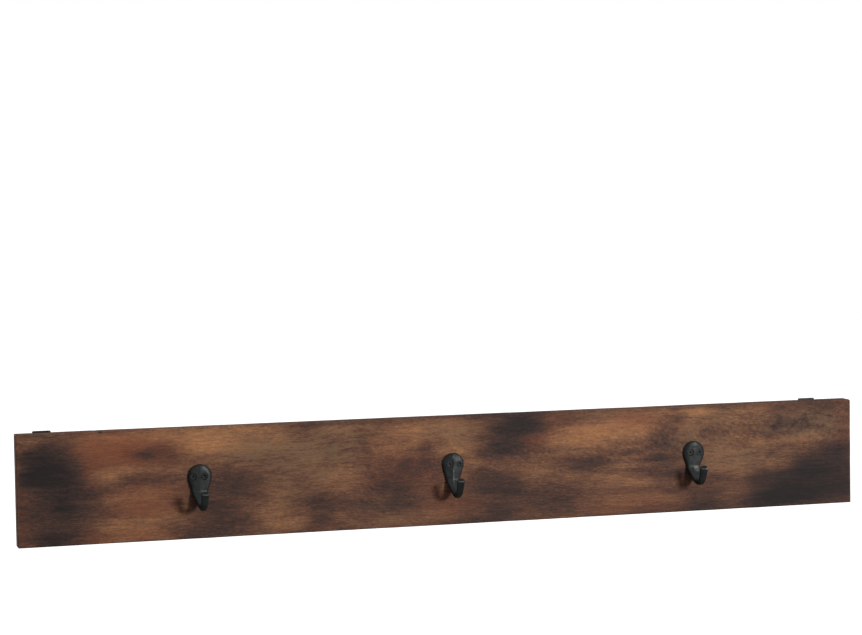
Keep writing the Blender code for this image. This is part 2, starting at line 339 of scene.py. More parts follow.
def makeWood():
    # Tone = ground + amber - char, each times its gain, plus the layers of the grain. Dust, redness, bare
    # wood and pores are then laid over the tone's colour, each by its own field or noise
    look = woodLook
    tree = Tree("scorchedWood")
    flow = fibreFlow(tree)
    layers = {}
    for name, (fineness, detail, rough, _) in look["layers"].items():
        layers[name] = tree.noise(fineness, detail, rough, flow)
    fibres, streaks = layers["fibres"], layers["streaks"]
    ticks = tree.ramp(tree.noise(look["ticks"], 1, 0.5, flow), 0.56, 0.76)
    pores = tree.ramp(tree.noise(look["pores"], 1, 0.5, flow), 0.64, 0.76)

    char = tree.field("char")
    edge = tree.times(tree.swing(streaks, look["charRagged"]), tree.ramp(char, 0.05, 0.4))
    burnt = tree.plus(char, edge)
    tone = tree.plus(look["ground"], tree.times(tree.field("amber"), look["amberGain"]))
    tone = tree.math("SUBTRACT", tone, tree.times(burnt, look["charLoss"]))
    grain = tree.times(ticks, look["tickGain"])
    for name, layer in layers.items():
        grain = tree.plus(grain, tree.swing(layer, look["layers"][name][3]))
    tone = tree.plus(tone, tree.times(grain, tree.ramp(char, 0.2, 1.0, (1.0, look["charCalm"]))))
    colour = tree.add("ValToRGB", {"Fac": tone}, "Color")
    elements = colour.node.color_ramp.elements
    while len(elements) < len(look["stops"]):
        elements.new(0.5)
    for element, (place, stopColour) in zip(elements, look["stops"]):
        element.position, element.color = place, stopColour

    bare = tree.ramp(char, 0.7, 0.1)
    dust = tree.times(tree.field("dusty"), tree.ramp(fibres, 0.36, 0.62))
    colour = tree.mix(tree.times(dust, bare), colour, look["dusty"])
    colour = tree.mix(tree.times(tree.field("red"), bare), colour, look["red"])
    rawWood = tree.mix(tree.ramp(streaks, 0.35, 0.65), look["rawDark"], look["raw"])
    colour = tree.mix(tree.field("raw"), colour, rawWood)
    colour = tree.mix(tree.times(pores, look["poreDark"]), colour, look["stops"][1][1])

    raised, sunk = look["relief"]
    height = tree.plus(tree.times(fibres, raised), tree.times(streaks, raised))
    height = tree.math("SUBTRACT", height, tree.times(pores, sunk))
    roughness = tree.plus(look["roughness"], tree.swing(fibres, 0.12))
    relief = tree.bump(height, 0.6, look["fibreRelief"])
    return tree.finish(colour, roughness, relief, specular=look["specular"])


ironLook = {
    "black": tint(41, 43, 43),
    "scale": tint(29, 31, 31),
    # the colour of worn metal, which also serves for the painted highlights on the hooks
    "worn": tint(118, 119, 117),
    "rust": tint(60, 46, 40),
    # painted shade for the middle of the hook's end face
    "endShade": tint(16, 16, 17),
    "dents": 260,  # these four are waves to a metre
    "grit": 1500,
    "patches": 120,
    "rustSpots": 330,
    "rustShare": 0.35,
    "wornShare": 0.75,
    "dentDepth": 0.00018,
    "metallic": (0.25, 0.6),  # where it is dull, and what a rubbed place adds
    "specular": 0.36,
}


def makeIron():
    # Black iron in two shades with faint rust. The field "rub" brightens it, partly as real wear and partly
    # as painted highlight on the nose, tip and crest, and the field "soot" blackens the middle of the end
    # face as painted shade
    look = ironLook
    tree = Tree("forgedIron")
    dents = tree.noise(look["dents"], 2, 0.5)
    grit = tree.noise(look["grit"], 3, 0.6)
    patches = tree.noise(look["patches"], 3, 0.6)
    rusty = tree.ramp(tree.noise(look["rustSpots"], 4, 0.6), 0.63, 0.78, (0, look["rustShare"]))
    colour = tree.mix(tree.ramp(patches, 0.35, 0.68), look["scale"], look["black"])
    colour = tree.mix(rusty, colour, look["rust"])
    # Worn places and painted highlights: the rub field lifts the colour towards bright metal
    shine = tree.ramp(tree.plus(tree.field("rubAndHighlight"), tree.swing(grit, 0.25)), 0.3, 0.9)
    colour = tree.mix(tree.times(shine, look["wornShare"]), colour, look["worn"])
    # Painted shade: the middle of the end face goes near black
    colour = tree.mix(tree.ramp(tree.field("endShade"), 0.1, 0.6), colour, look["endShade"])
    height = tree.plus(dents, tree.times(grit, 0.22))
    roughness = tree.plus(tree.ramp(grit, 0.3, 0.7, (0.4, 0.56)), tree.times(shine, -0.04))
    dull, added = look["metallic"]
    metallic = tree.plus(dull, tree.times(shine, added))
    relief = tree.bump(height, 0.5, look["dentDepth"])
    return tree.finish(colour, roughness, relief, metallic, look["specular"])


steelLook = {
    "paint": tint(24, 24, 25),
    "paintLight": tint(34, 34, 35),
    "worn": tint(128, 126, 122),
    "grit": 2200,  # these two are waves to a metre
    "patches": 300,
    "gritDepth": 0.00005,
    "specular": 0.3,
}


def makeSteel():
    # Black paint in two shades, worn through to the metal where the field "rub" is strong: on the plates'
    # edges that is wear, round the screws' rims it is a painted highlight
    look = steelLook
    tree = Tree("blackSteel")
    grit = tree.noise(look["grit"], 2, 0.5)
    patches = tree.noise(look["patches"], 3, 0.55)
    colour = tree.mix(tree.ramp(patches, 0.35, 0.65), look["paint"], look["paintLight"])
    shine = tree.ramp(tree.plus(tree.field("rubAndHighlight"), tree.swing(patches, 0.4)), 0.45, 0.9)
    colour = tree.mix(shine, colour, look["worn"])
    roughness = tree.ramp(grit, 0.3, 0.7, (0.34, 0.5))
    metallic = tree.times(shine, 0.8)
    relief = tree.bump(grit, 0.35, look["gritDepth"])
    return tree.finish(colour, roughness, relief, metallic, look["specular"])


boardShape = {
    "steps": (2.6 * mm, 3 * mm, 1.75 * mm),  # between the lattice's lines, along X, Y and Z
    "border": 5 * mm,
    "edgeRound": 1.3 * mm,
    "edgeWear": 0.9 * mm,
    "cornerRound": 3.0 * mm,  # the upper right corner
    "cornerSharp": 1.2 * mm,  # the other three
    "wave": 0.25 * mm,  # how far the long edges dip
    "ripple": 0.16 * mm,  # how far the front undulates
    "saw": (2.1 * mm, 0.05 * mm),  # the saw marks across the back: their pitch and depth
    "nick": (-417 * mm, 3.4 * mm, 0.7 * mm),  # place along the top edge, width and depth
    "bedGap": 0.3 * mm,  # round each hanging plate
    "bedAbove": 4 * mm,  # how far its bed runs on above it
    "bedCorner": 2.2 * mm,
    "pilotRadius": 1.95 * mm,
    "pilotExtra": 0.8 * mm,  # past the screw's point
    "past": 2 * mm,  # how far a cutter stands out of the wood
}
# Where the closer lines stand within the border, as shares of it
edgeShares = np.array([0, 0.05, 0.11, 0.18, 0.26, 0.35, 0.46, 0.6, 0.78])


def boardSkin(low, high):
    # A rounded box: each point p of a plain box goes to q + r (p - q) / |p - q|, where q is the nearest point
    # of a box smaller by r on every side. r wanders along the edges, where they are worn
    shape = boardShape
    xs, ys, zs = (linesAcross(low[i], high[i], step, shape["border"], edgeShares)
                  for i, step in enumerate(shape["steps"]))
    points, faces = boxSkin(xs, ys, zs)
    x, y, z = points.T
    wear = layeredNoise(x / (28 * mm), z / (28 * mm), 5) + 0.6 * layeredNoise(x / (7 * mm), y / (9 * mm), 9)
    radius = shape["edgeRound"] + shape["edgeWear"] * np.clip(wear, -0.9, 1.6)
    half = (high - low) / 2
    middle = (high + low) / 2
    offset = points - middle
    inner = np.clip(offset, -(half - radius[:, None]), half - radius[:, None])
    away = offset - inner
    length = np.maximum(np.linalg.norm(away, axis=1), 1e-9)
    points = middle + inner + away * (radius / length)[:, None]

    # The outline's four corners are rounded in the same way, in x and z only
    corner = np.where((x > 0) & (z > 0), shape["cornerRound"], shape["cornerSharp"])
    flat = points[:, [0, 2]] - middle[[0, 2]]
    reach = half[[0, 2]] - corner[:, None]
    inside = np.clip(flat, -reach, reach)
    beyond = flat - inside
    far = np.linalg.norm(beyond, axis=1)
    pull = np.where(far > corner, corner / np.maximum(far, 1e-9), 1)
    points[:, [0, 2]] = middle[[0, 2]] + inside + beyond * pull[:, None]

    # Waves: the long edges dip by a fraction of a millimetre, the front undulates and the back is sawn. The
    # bottom edge rises by a hair from the left end on, except at one place
    x, y, z = points.T
    top = smooth(z, high[2] - 12 * mm, high[2])
    bottom = smooth(-z, -low[2] - 12 * mm, -low[2])
    dip = shape["wave"] * (0.5 + 0.5 * layeredNoise(x / (60 * mm), 0 * x, 21))
    lift = shape["wave"] * (0.5 + 0.5 * layeredNoise(x / (45 * mm), 0 * x, 27))
    stays = 1 - 0.9 * np.exp(-((x - 384 * mm) / (9 * mm)) ** 2)
    lift = lift + 0.15 * mm * smooth(x, -455 * mm, -425 * mm) * stays
    points[:, 2] += bottom * lift - top * dip
    front = smooth(-y, -low[1] - 2.5 * mm, -low[1])
    ripple = layeredNoise(x / (70 * mm), z / (9 * mm), 33)
    ripple = ripple + 0.5 * layeredNoise(x / (16 * mm), z / (4.5 * mm), 35)
    points[:, 1] += front * shape["ripple"] * (ripple + 1.5)
    back = smooth(y, high[1] - 2.5 * mm, high[1])
    pitch, sawDepth = shape["saw"]
    saw = 0.5 + 0.5 * np.sin(x / pitch + 2 * layeredNoise(x / (40 * mm), z / (60 * mm), 41))
    points[:, 1] -= back * sawDepth * saw

    at, width, depth = shape["nick"]
    notch = np.exp(-((x - at) / (width / 2)) ** 2) * smooth(z, high[2] - 6 * mm, high[2])
    points[:, 2] -= depth * notch * (0.35 + 0.65 * front)
    return meshFrom("board", points, [faces])


# Where the finish is uneven: (x, z, half length, half height, strength), in millimetres
scorches = [
    (-478, 17, 30, 16, 1.2), (-462, 28, 36, 20, 0.75), (-490, 37, 20, 8, 0.7), (-446, 10, 16, 7, 0.6),
    (-446, -11, 34, 18, 0.55), (-460, -21, 13, 13, 0.5), (-466, -57, 18, 13, 0.8), (-470, 60, 34, 4, 0.3),
    (-470, -30, 56, 44, 0.42), (-418, 62, 2.6, 1.6, 1.3), (-462, 50, 26, 9, 0.45),
    (-357, 36, 36, 12, 0.42), (-359, 33, 8, 6, 0.3), (-331, 33, 6, 7, 0.27), (-371, 6, 26, 6, 0.42),
    (-338, -22, 22, 7, 0.2), (-385, -30, 24, 8, 0.3), (-300, 4, 30, 16, 0.23), (-226, 22, 34, 9, 0.27),
    (-256, -4, 30, 15, 0.48), (-282, -25, 18, 10, 0.43), (-277, -46, 30, 19, 0.53), (-318, -54, 26, 12, 0.43),
    (-192, 0, 40, 10, 0.2), (-185, 48, 10, 10, 0.23), (-150, 62, 46, 4, 0.47),
    (-161, -26, 18, 11, 0.56), (-163, -51, 18, 9, 0.58), (-150, 44, 8, 10, 0.2), (-109, 34, 9, 20, 0.31),
    (-105, 12, 8, 7, 0.27), (-190, -60, 30, 6, 0.31),
    (-66, -25, 24, 18, 0.47), (-59, 9, 9, 7, 0.39), (-34, 28, 9, 6, 0.31), (-62, 0, 46, 16, 0.23),
    (-90, -18, 22, 8, 0.27), (-40, 8, 22, 10, 0.23), (-92, 62, 30, 4, 0.23),
    (78, 50, 32, 15, 0.82), (62, 36, 20, 10, 0.47), (106, 44, 20, 9, 0.35), (60, 64, 76, 4, 0.55),
    (52, 22, 24, 12, 0.47), (56, -14, 36, 15, 0.53), (66, -28, 30, 12, 0.35), (36, -4, 16, 8, 0.31),
    (139, -32, 60, 12, 0.33), (54, -52, 22, 12, 0.47), (30, -61, 40, 5, 0.35), (112, -50, 62, 12, 0.33),
    (150, 2, 46, 8, 0.51), (172, -1, 22, 8, 0.47), (196, 18, 40, 3, 0.15), (258, 3, 34, 5, 0.6),
    (232, 12, 30, 3, 0.3), (240, -13, 40, 5, 0.4), (284, -18, 34, 5, 0.4), (264, 32, 22, 20, 0.33),
    (300, -28, 50, 9, 0.23), (312, -48, 26, 11, 0.48), (320, -60, 26, 7, 0.51), (258, -60, 60, 8, 0.27),
    (436, -46, 64, 20, 1.1), (455, -26, 44, 16, 1.0), (400, -53, 30, 14, 0.9), (470, -8, 40, 10, 0.72),
    (410, -25, 26, 6, 0.55), (492, 6, 26, 9, 0.5), (500, -30, 22, 34, 0.6), (370, -33, 26, 9, 0.35),
    (438, 37, 27, 11, 0.45), (400, 22, 9, 6, 0.4), (476, 56, 22, 9, 0.35), (440, 60, 40, 5, 0.25),
    (300, 63, 40, 2.5, 0.3), (330, -22, 22, 6, 0.27),
    (80, 22, 28, 9, 0.5), (386, -22, 12, 14, 0.35), (150, 48, 22, 7, 0.3), (-238, -10, 22, 12, 0.4),
    (-190, -30, 12, 9, 0.35), (-130, -35, 60, 7, 0.3), (-70, -42, 40, 9, 0.35), (-150, 22, 8, 9, 0.3),
    (412, 42, 9, 18, 0.45), (404, 8, 12, 8, 0.3), (275, -37, 80, 5, 0.3), (334, -38, 20, 9, 0.5),
    (334, 30, 20, 14, 0.12), (-440, -50, 14, 12, 0.35), (118, -12, 30, 8, 0.3), (-60, 40, 14, 8, 0.2),
    (-340, 10, 14, 12, 0.3), (-110, -50, 20, 8, 0.3), (10, -50, 20, 8, 0.3), (-180, 55, 16, 7, 0.3),
]
ambers = [
    (-288, 43, 42, 15, 1.0), (-300, 58, 70, 8, 0.65), (-395, 54, 54, 10, 0.75), (-412, 40, 40, 13, 0.55),
    (-405, 12, 26, 10, 0.62), (-380, 20, 50, 8, 0.4), (-362, -8, 36, 8, 0.6), (-409, -15, 26, 6, 0.5),
    (-490, 56, 24, 4, 0.5), (-400, -45, 44, 10, 0.5), (-350, -44, 40, 14, 0.5), (-370, -58, 44, 6, 0.4),
    (-320, 20, 24, 12, 0.3), (-205, 50, 44, 14, 0.5), (-232, 36, 40, 12, 0.4), (-216, -8, 30, 16, 0.5),
    (-210, -34, 26, 10, 0.5), (-200, -54, 30, 9, 0.6), (-245, 20, 28, 8, 0.4), (-180, 20, 34, 20, 0.35),
    (-57, 47, 34, 13, 0.68), (-5, 51, 34, 12, 0.62), (2, 28, 24, 12, 0.75), (-146, -8, 30, 12, 0.35),
    (-124, 6, 30, 12, 0.4), (-78, -52, 34, 9, 0.45), (-18, -49, 34, 7, 0.4), (-80, 30, 34, 14, 0.4),
    (-130, 54, 26, 8, 0.35), (-118, -48, 34, 8, 0.35), (22, 14, 14, 10, 0.3),
    (160, 34, 40, 17, 0.95), (206, 40, 46, 15, 1.1), (226, 46, 22, 8, 0.5), (170, 24, 30, 6, 0.2),
    (108, -2, 44, 10, 0.45), (130, -14, 50, 7, 0.4), (308, 58, 18, 7, 0.85), (294, 40, 22, 12, 0.35),
    (360, 52, 44, 12, 0.45), (394, 14, 20, 7, 0.6), (366, -2, 48, 12, 0.5), (352, -18, 38, 9, 0.5),
    (340, 16, 40, 10, 0.35), (215, -44, 70, 12, 0.42), (212, -26, 60, 8, 0.4), (440, 20, 40, 7, 0.45),
    (350, -38, 44, 8, 0.5), (300, 6, 40, 10, 0.3), (258, 55, 26, 8, 0.35),
    (-362, -26, 40, 10, 0.5), (-270, 58, 50, 7, 0.4), (222, 6, 30, 4, 0.4), (206, -3, 40, 4, 0.3),
    (416, -12, 22, 7, 0.4), (-140, 50, 20, 8, 0.3), (-190, -56, 30, 5, 0.35), (460, 22, 20, 5, 0.2),
    (215, 18, 26, 3, 0.6), (246, 11, 22, 3, 0.3), (212, -15, 30, 3, 0.45), (215, 58, 40, 6, 0.45),
]
dusts = [
    (-232, 34, 40, 13, 0.6), (-186, 26, 44, 16, 0.6), (-470, 58, 36, 7, 0.5), (-140, 36, 34, 18, 0.5),
    (362, 0, 50, 16, 0.5), (448, 36, 50, 16, 0.6), (300, 20, 36, 14, 0.4), (-170, 4, 44, 10, 0.4),
    (190, 58, 40, 7, 0.4), (-130, 50, 50, 12, 0.3), (10, 44, 34, 12, 0.4), (-196, -20, 30, 10, 0.2),
    (335, 50, 30, 12, 0.3), (-80, -38, 40, 18, 0.25),
]
reds = [
    (-400, 42, 52, 20, 0.6), (-357, 36, 40, 15, 0.35), (-366, -54, 32, 9, 0.35), (-359, -8, 40, 12, 0.3),
    (-366, -26, 34, 12, 0.5), (-77, 36, 40, 20, 0.15), (-4, -42, 40, 10, 0.25), (170, 40, 50, 18, 0.15),
    (228, 50, 26, 10, 0.45), (90, 44, 44, 20, 0.35), (230, -50, 60, 14, 0.2), (-60, -5, 50, 25, 0.2),
    (499, -20, 9, 60, 0.3), (-500, -10, 9, 50, 0.2), (-432, 28, 18, 22, 0.45), (-430, -56, 30, 8, 0.3),
]
# Where the fibres drift down from left to right: (x, z, half length, half height, how far), in millimetres
drifts = [
    (-112, -30, 40, 34, 12), (228, 4, 70, 34, 10), (330, 36, 50, 42, 7), (390, 12, 60, 40, 3),
    (-150, 48, 30, 34, -9), (-300, 0, 90, 50, 3), (60, 10, 80, 40, 6),
]


def drift(x, z):
    # Each place adds a smooth step along x, which is strongest at its own height and fades above and below
    fall = 0 * x
    for atX, atZ, halfX, halfZ, far in drifts:
        fade = np.exp(-((z / mm - atZ) / halfZ) ** 2)
        fall = fall + far * mm * smooth(x / mm, atX - halfX, atX + halfX) * fade
    return fall + 1.7 * mm * layeredNoise(x / (110 * mm), z / (26 * mm), 51, 2)


def blotches(x, z, marks, seed, ragged):
    # Soft spots laid over each other: 1 minus the product of (1 - strength * exp(-0.9 d^2.6)), where d is the
    # distance from a mark's middle in units of its size. The places wander with noise, so no spot is round
    x = x + ragged * 9 * mm * layeredNoise(x / (22 * mm), z / (9 * mm), seed)
    z = z + ragged * 3.6 * mm * layeredNoise(x / (26 * mm), z / (8 * mm), seed + 7)
    clear = np.ones_like(x)
    for atX, atZ, halfX, halfZ, strength in marks:
        far = ((x / mm - atX) / halfX) ** 2 + ((z / mm - atZ) / halfZ) ** 2
        clear *= 1 - np.minimum(strength * np.exp(-far**1.3 * 0.9), 0.98)
    return 1 - clear


def bedAndPocket(side, back):
    # The bed that one hanging plate lies in, and the deeper pocket behind its keyhole, cut from the back
    shape = boardShape
    low, high, middle = cornersOf("hanger_plate_" + side)
    gap, outside = shape["bedGap"], back + shape["past"]
    outline = roundedRectangle(low[0] - gap, high[0] + gap, low[2] - gap, high[2] + shape["bedAbove"],
                               shape["bedCorner"])
    bed = prism("bed", outline, low[1] - gap, outside)
    radius = plateShape["pocketRadius"]
    slotEnd = middle[2] + plateShape["slotTop"] - plateShape["slotWidth"] / 2
    entry = middle[2] - plateShape["entryBelow"]
    outline = arc((middle[0], slotEnd), radius, 0, pi, 20) + arc((middle[0], entry), radius, pi, tau, 20)
    return bed, prism("pocket", outline, back - plateShape["pocketDepth"], outside)


def pilotHole(node, front, back):
    # A round hole for one screw, from the face that it enters to a little past its point
    low, high, middle = cornersOf(node)
    outwards = outwardSide(node)
    face, tip = (back, low[1]) if outwards > 0 else (front, high[1])
    radius = boardShape["pilotRadius"]
    profile = [(radius, -1 * mm), (radius, abs(face - tip) + boardShape["pilotExtra"])]
    return turnedCutter("pilot", profile, (middle[0], face, middle[2]), outwards, 24)


def makeBoard(material):
    low, high, _ = cornersOf("board")
    beds, deep = zip(*[bedAndPocket(side, high[1]) for side in ("left", "right")])
    pilots = [pilotHole(node, low[1], high[1]) for node in screwNodes]
    cutters = [joined("beds", beds), joined("deep holes", [*deep, *pilots])]
    mesh = carve(boardSkin(low, high), cutters, radians(50))

    # The finish lies on the front and the edges. The back and the insides of the holes are bare wood
    x, y, z = pointsOf(mesh).T
    back = smooth(y, high[1] - 4 * mm, high[1] - 0.5 * mm)
    atEnd = smooth(np.abs(x), high[0] - 3 * mm, high[0] - 0.4 * mm)
    addField(mesh, "char", blotches(x, z, scorches, 3, 1.0) * (1 - 0.85 * back) * (1 - 0.8 * atEnd))
    addField(mesh, "amber", blotches(x, z, ambers, 12, 1.0) * (1 - back))
    addField(mesh, "dusty", blotches(x, z, dusts, 17, 1.2) * (1 - back))
    addField(mesh, "red", blotches(x, z, reds, 22, 1.2) * (1 - back))
    addField(mesh, "flow", drift(x, z))
    hollow = smooth(high[1] - y, 1 * mm, 1.6 * mm) * smooth(y, low[1] + 5 * mm, low[1] + 7 * mm)
    outside = np.minimum(np.minimum(x - low[0], high[0] - x), np.minimum(z - low[2], high[2] - z))
    addField(mesh, "raw", np.maximum(0.75 * back, hollow * (outside > 2.5 * mm)))
    addPiece("scorchedBoard", mesh, material, "board")
    print("board made:", len(mesh.polygons), "faces")


hookShape = {
    "gap": 0.3 * mm,  # behind the plate
    "plateEdge": 2.9 * mm,
    "plateRidge": 4.5 * mm,
    "armEdge": 2.6 * mm,
    "armRidge": 4.3 * mm,
    "belly": 1.0 * mm,
    "curlWidth": 5.8 * mm,
    "curlRadius": 13.05 * mm,
    "bendRadius": 10 * mm,
    "slopeAngle": radians(40),
    "tipAngle": radians(160),
    "tipFan": 0.8,
    "tipCut": 0.45,
    "roundOver": 1.3 * mm,
    "screwLine": 8 * mm,
    "around": 72,
    "step": 0.45 * mm,
    "rimShare": 0.62,  # how much of the edge's thickness is left at the very rim
    "thinnest": 1.2 * mm,
    "hammer": 0.22 * mm,
    "sink": [(2.05, 8), (2.05, 2.1), (3.65, 0.3), (3.7, -0.2), (4.2, -0.9), (5.5, -4)],
}
# Each hook's own sizes: its place, the widths of its plate, neck and tip, how late it narrows, how round the
# front of its plate and arm is (0 is a sharp ridge), the lengths of its flat, slope and rise, its lean, how
# bright its nose, tip and crest are (wear, and painted highlight), from where across the tip, and the
# hammer's
# facets on its plate: each a direction in degrees, a distance in millimetres and a slope
hooks = {
    "left": {
        "x": -301 * mm, "plate": 27.6 * mm, "neck": 19 * mm, "tip": 9.4 * mm, "late": 1.0,
        "soft": 0.75, "softArm": 0.6,
        "flat": 15 * mm, "slope": 13.0 * mm, "rise": 13.7 * mm, "lean": radians(1.2),
        "noseRubAndHighlight": 0.06, "tipRubAndHighlight": 0.45, "crest": 0.12, "tipFrom": -1.2,
        "facets": [(118, 8.6, 0.4), (52, 9.2, 0.26), (180, 9.8, 0.26), (0, 10, 0.26)],
    },
    "middle": {
        "x": -0.8 * mm, "plate": 26.0 * mm, "neck": 16.4 * mm, "tip": 9.3 * mm, "late": 1.0,
        "soft": 0.1, "softArm": 0.15,
        "flat": 16.4 * mm, "slope": 12.0 * mm, "rise": 14.8 * mm, "lean": radians(1.4),
        "noseRubAndHighlight": 0.06, "tipRubAndHighlight": 0.4, "crest": 0.72, "tipFrom": -1.2,
        "facets": [(60, 5.6, 0.22), (135, 8.2, 0.34), (185, 8.4, 0.3), (-12, 9.2, 0.26)],
    },
    "right": {
        "x": 301 * mm, "plate": 27.2 * mm, "neck": 17 * mm, "tip": 10.1 * mm, "late": 1.35,
        "soft": 0.75, "softArm": 1.0,
        "flat": 15 * mm, "slope": 13.3 * mm, "rise": 15.0 * mm, "lean": radians(1.8),
        "noseRubAndHighlight": 1.1, "tipRubAndHighlight": 1.6, "crest": 0.2, "tipFrom": 0.3,
        "facets": [(95, 8.8, 0.34), (150, 9, 0.4), (30, 9.4, 0.34), (190, 9.6, 0.3)],
    },
}


def hookPath(own):
    # The line down the hook's back. Its direction turns at a steady rate round each bend, and its place is a
    # running sum of the direction's sine, outwards, and cosine, downwards
    shape = hookShape
    radius = own["plate"] / 2
    curl = shape["tipAngle"] - shape["slopeAngle"]
    lengths = [own["flat"], shape["bendRadius"] * shape["slopeAngle"], own["slope"],
               shape["curlRadius"] * curl, own["rise"]]
    marks = np.concatenate([[0], np.cumsum(lengths)])
    angles = [0, 0, shape["slopeAngle"], shape["slopeAngle"], shape["tipAngle"], shape["tipAngle"]]
    steps = ceil(marks[-1] / shape["step"])
    along = np.linspace(0, marks[-1], steps + 1)
    middle = (along[1:] + along[:-1]) / 2
    turn = np.interp(middle, marks, angles)
    size = along[1] - along[0]
    out = shape["gap"] + np.concatenate([[0], np.cumsum(np.sin(turn)) * size])
    height = -np.concatenate([[0], np.cumsum(np.cos(turn)) * size])
    # Above the widest place the plate is round: those stations are heights on a circle
    top = radius * np.cos(np.radians([0.8, 2.5, *np.arange(5, 90, 2.5)]))
    out = np.concatenate([np.full(len(top), shape["gap"]), out])
    height = np.concatenate([top, height])
    angle = np.concatenate([np.zeros(len(top)), np.interp(along, marks, angles)])
    along = np.concatenate([-top, along])
    return along, out, height, angle, marks


def hookWidth(own, along, flatEnd, lowest, end):
    # A circle's width down to the widest place, then a smooth narrowing to the neck and to the curl's lowest
    # place, from where it widens again to the tip as share^tipFan
    shape = hookShape
    radius = own["plate"] / 2
    width = 2 * np.sqrt(np.maximum(radius**2 - np.minimum(along, 0) ** 2, 0))
    toNeck = smooth(along, 0, flatEnd * 1.25)
    width = np.where(along > 0, 2 * radius + (own["neck"] - 2 * radius) * toNeck, width)
    toCurl = smooth(np.clip((along - flatEnd) / (lowest - flatEnd), 0, 1) ** own["late"])
    width = np.where(along > flatEnd, width + (shape["curlWidth"] - width) * toCurl, width)
    toTip = np.clip((along - lowest) / (end - lowest), 0, 1) ** shape["tipFan"]
    return np.where(along > lowest, shape["curlWidth"] + (own["tip"] - shape["curlWidth"]) * toTip, width)


def hookRing():
    # One ring of the hook, from the middle of its back round its front: each point's place across, as a share
    # of the half width, and whether it is on the back, 0, or the front, 1
    across = [0, 0.62, 0.94, 1.0, 1.0, 0.9, 0.6, 0.25, 0, -0.25, -0.6, -0.9, -1.0, -1.0, -0.94, -0.62]
    front = [0, 0, 0.06, 0.3, 0.7, 1, 1, 1, 1, 1, 1, 1, 0.7, 0.3, 0.06, 0]
    spot = np.linspace(0, len(front), hookShape["around"], endpoint=False)
    index = np.arange(len(front) + 1)
    return np.interp(spot, index, [*across, across[0]]), np.interp(spot, index, [*front, front[0]])


def hookSurface(own, seed):
    # A ring at every station: a nearly flat back, two sides, and a front that falls from its ridge as 1 - |u|
    # or as sqrt(1 - u^2), or between them. Near the rim the thickness follows a quarter circle
    shape = hookShape
    along, out, height, angle, marks = hookPath(own)
    radius = own["plate"] / 2
    flatEnd, curlStart, tipStart, end = marks[1], marks[3], marks[4], marks[5]
    downShare = (pi / 2 - shape["slopeAngle"]) / (shape["tipAngle"] - shape["slopeAngle"])
    lowest = curlStart + (tipStart - curlStart) * downShare
    width = hookWidth(own, along, flatEnd, lowest, end)
    arm = smooth(along, flatEnd - 6 * mm, flatEnd + 10 * mm)
    edge = shape["plateEdge"] + (shape["armEdge"] - shape["plateEdge"]) * arm
    ridge = shape["plateRidge"] + (shape["armRidge"] - shape["plateRidge"]) * arm
    belly = shape["belly"] * smooth(along, flatEnd + 2 * mm, flatEnd + 12 * mm)

    u, front = hookRing()
    across = u * width[:, None] / 2
    ridged = (1 - np.abs(u)) ** 1.05
    rounded = np.sqrt(1 - u**2)
    soft = own["soft"] + (own["softArm"] - own["soft"]) * arm[:, None]
    crown = edge[:, None] + (ridge - edge)[:, None] * (ridged + (rounded - ridged) * soft)
    fromTop = radius - np.hypot(across, np.maximum(-along, 0)[:, None])
    rimDistance = np.where(along[:, None] < 0, fromTop, (1 - np.abs(u)) * width[:, None] / 2)
    share = np.clip(rimDistance / shape["roundOver"], 0, 1)
    roll = np.sqrt(np.maximum(1 - (1 - share) ** 2, 0))
    rim = edge[:, None] * shape["rimShare"]
    face = rim + (crown - rim) * roll

    # The hammer's facets lower the plate's front: each is a plane that starts at a distance and slopes away
    onPlate = 1 - smooth(along, 0, flatEnd * 1.3)[:, None]
    for direction, distance, slope in own["facets"]:
        a = radians(direction)
        reach = across * cos(a) - along[:, None] * sin(a)
        over = np.maximum(reach - distance * mm, 0)
        face = face - onPlate * slope * over * 0.8
    hits = layeredNoise(across / (5.2 * mm) + seed, along[:, None] / (6.4 * mm), seed, 2)
    face = np.maximum(face + shape["hammer"] * hits * roll, shape["thinnest"])

    under = -belly[:, None] * rounded
    up = under + (face - under) * front
    # The tip's last millimetre is eased
    ease = smooth(along, end - 0.9 * mm, end)[:, None] ** 2
    centre = (ridge / 2)[:, None]
    across = across * (1 - 0.1 * ease)
    up = centre + (up - centre) * (1 - 0.16 * ease)

    # A light sweep round each ring takes the sharpness off its corners
    for _ in range(2):
        across = across * 0.5 + 0.25 * (np.roll(across, 1, 1) + np.roll(across, -1, 1))
        up = up * 0.5 + 0.25 * (np.roll(up, 1, 1) + np.roll(up, -1, 1))

    # Towards the tip the rings lean over, so the end is cut on the slant: its outer side lags behind
    slant = smooth(along, end - 7 * mm, end)[:, None]
    lag = shape["tipCut"] * slant * (ridge[:, None] - up)
    c, s = np.cos(angle)[:, None], np.sin(angle)[:, None]
    y = -(out[:, None] + up * c - lag * s)
    z = height[:, None] + up * s + lag * c

    # Wear and painted highlight: the ridge, the nose where the flat bends, the tip's outer edge and the rim
    # are made bright. The rim is worn; on the nose, the tip and the crest the brightness is partly wear and
    # partly painted highlight
    onFront = smooth(front, 0.6, 1)[None, :]
    nose = np.exp(-((along - flatEnd - 7 * mm) / (5.5 * mm)) ** 2)[:, None]
    nose = nose * np.exp(-((u - 0.35) / 0.45) ** 2)
    tip = smooth(along, end - 2.2 * mm, end - 0.8 * mm)[:, None] * (1.1 - front)
    tip = tip * smooth(u, own["tipFrom"], own["tipFrom"] + 0.6)
    worn = smooth(along, 1 * mm, 8 * mm) * (1 - smooth(along, flatEnd + 8 * mm, flatEnd + 18 * mm))
    crest = np.exp(-(u / 0.08) ** 2) * worn[:, None]
    rubAndHighlight = onFront * (own["noseRubAndHighlight"] * nose + own["crest"] * crest) + own["tipRubAndHighlight"] * tip
    rimRub = np.exp(-(rimDistance / (0.9 * mm)) ** 2) * onFront * 0.25
    return np.stack([across, y, z], -1), rubAndHighlight + rimRub


